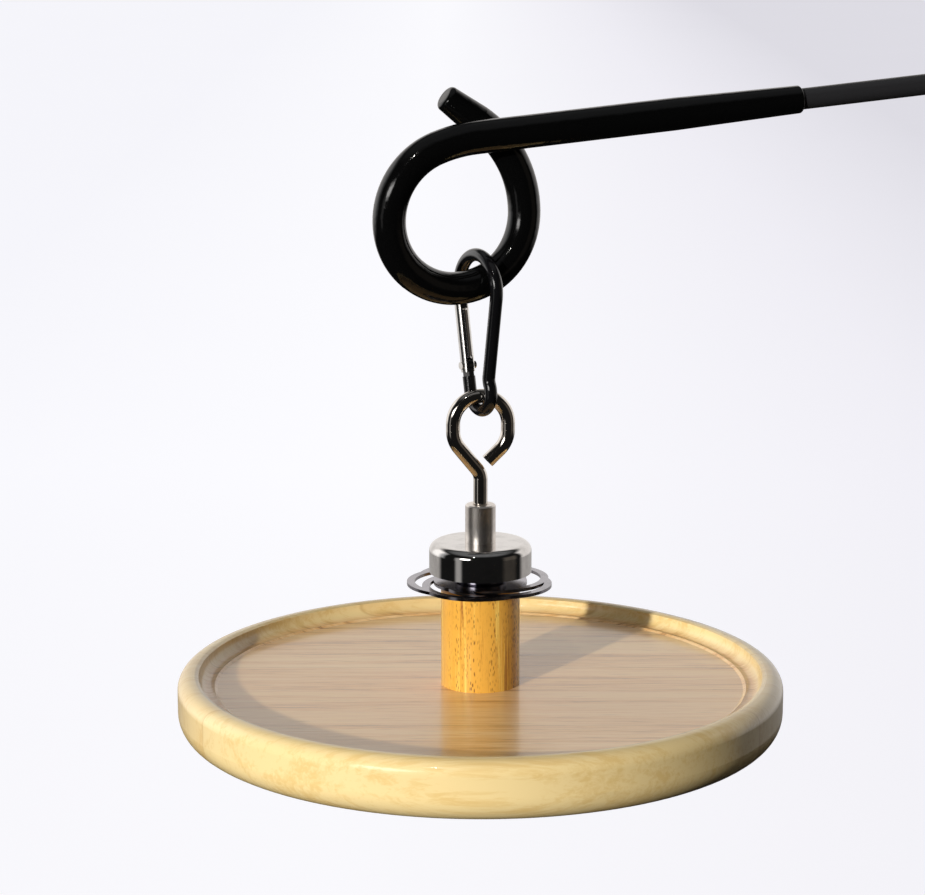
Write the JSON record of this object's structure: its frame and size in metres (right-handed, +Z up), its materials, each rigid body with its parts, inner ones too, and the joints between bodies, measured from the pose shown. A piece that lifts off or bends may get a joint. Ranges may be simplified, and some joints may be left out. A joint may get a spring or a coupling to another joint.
{
  "type": "hanging wooden tray on a magnetic hook",
  "caption": "Round wooden tray with a centre post, held under a sleeved pigtail hook arm by a snap hook, an eye bolt and a pot magnet that grips the post's steel disc.",
  "frame": {"origin": "centre of the rod's free end face, where the arm is held", "axes": "+X along the arm towards its free end (the arm itself rises 4.7 degrees from it), +Z up along the plumb line the tray hangs on, +Y away from the viewer, towards the side the pigtail's tail lies on"},
  "size_m": [0.2626, 0.19, 0.2044],
  "materials": {
    "rod_steel": "satin black",
    "sleeve_rubber": "smooth, glossy black",
    "snap_black": "gloss black",
    "gate_nickel": "bright nickel",
    "spring_steel": "drawn wire",
    "eye_nickel": "polished nickel",
    "boss_nickel": "turned nickel",
    "cup_nickel": "polished nickel",
    "magnet_ferrite": "ground ferrite",
    "filler_resin": "cast resin",
    "plate_steel": "polished steel",
    "screw_zinc": "zinc plated",
    "post_teak": "oiled, upright grain",
    "tray_rubberwood": "clear lacquer"
  },
  "bodies": {
    "arm": {"hook_rod": "rod_steel", "hook_sleeve": "sleeve_rubber"},
    "carabiner": {"carabiner_body": "snap_black", "gate_pivot_pin": "gate_nickel"},
    "gate": {"carabiner_gate": "gate_nickel", "gate_latch_pin": "gate_nickel", "gate_spring": "spring_steel", "gate_plunger": "spring_steel"},
    "eye": {"eye_bolt": "eye_nickel"},
    "magnet": {"threaded_sleeve": "boss_nickel", "magnet_cup": "cup_nickel", "magnet_disc": "magnet_ferrite", "magnet_filler": "filler_resin"},
    "tray": {"strike_disc": "plate_steel", "ring_plate": "plate_steel", "plate_screw": "screw_zinc", "post": "post_teak", "tray": "tray_rubberwood", "tray_screw": "screw_zinc", "tray_washer": "screw_zinc"}
  },
  "joints": [
    {"name": "carabiner_swing", "type": "hinge", "parent": "arm", "child": "carabiner", "pos_m": [-0.16737, 0.00802, -0.05921], "axis": [0.9703, 0.2419, 0], "range_deg": [-30, 30]},
    {"name": "gate_open", "type": "hinge", "parent": "carabiner", "child": "gate", "pos_m": [-0.16918, 0.01528, -0.08611], "axis": [0.9703, 0.2419, 0], "range_deg": [0, 28], "stiffness_Nm_per_rad": 0.05, "springref_deg": -14.32},
    {"name": "eye_swing", "type": "hinge", "parent": "carabiner", "child": "eye", "pos_m": [-0.16737, 0.00802, -0.09904], "axis": [0.2419, -0.9703, 0], "range_deg": [-25, 25]},
    {"name": "magnet_turn", "type": "hinge", "parent": "eye", "child": "magnet", "pos_m": [-0.16737, 0.00802, -0.15025], "axis": [0, 0, 1], "continuous": true},
    {"name": "tray_pull", "type": "slide", "parent": "magnet", "child": "tray", "axis": [0, 0, -1], "range_m": [0, 0.03]}
  ]
}
